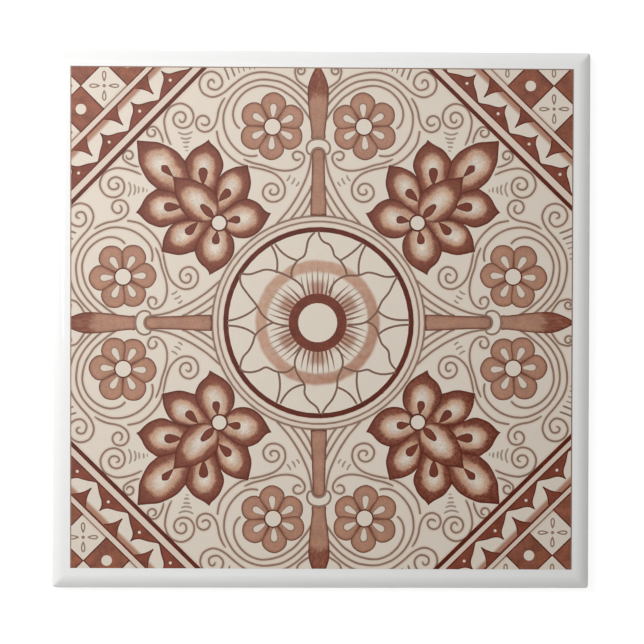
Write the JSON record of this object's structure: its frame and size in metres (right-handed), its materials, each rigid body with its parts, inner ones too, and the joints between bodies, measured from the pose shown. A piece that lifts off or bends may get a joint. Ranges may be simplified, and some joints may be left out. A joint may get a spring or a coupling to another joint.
{
  "type": "transferware tile",
  "caption": "Square glazed wall tile with a cushioned rim, a brown transfer print of flowers and scrolls on its face, and a keyed back.",
  "frame": {"origin": "middle of the back, in the plane of its ribs", "axes": "+Z out of the printed face, +Y to the top of the print, +X to its right"},
  "size_m": [0.1524, 0.1524, 0.0064],
  "materials": {
    "glazed_body": "gloss"
  },
  "bodies": {
    "root": {"tile": "glazed_body"}
  },
  "joints": []
}
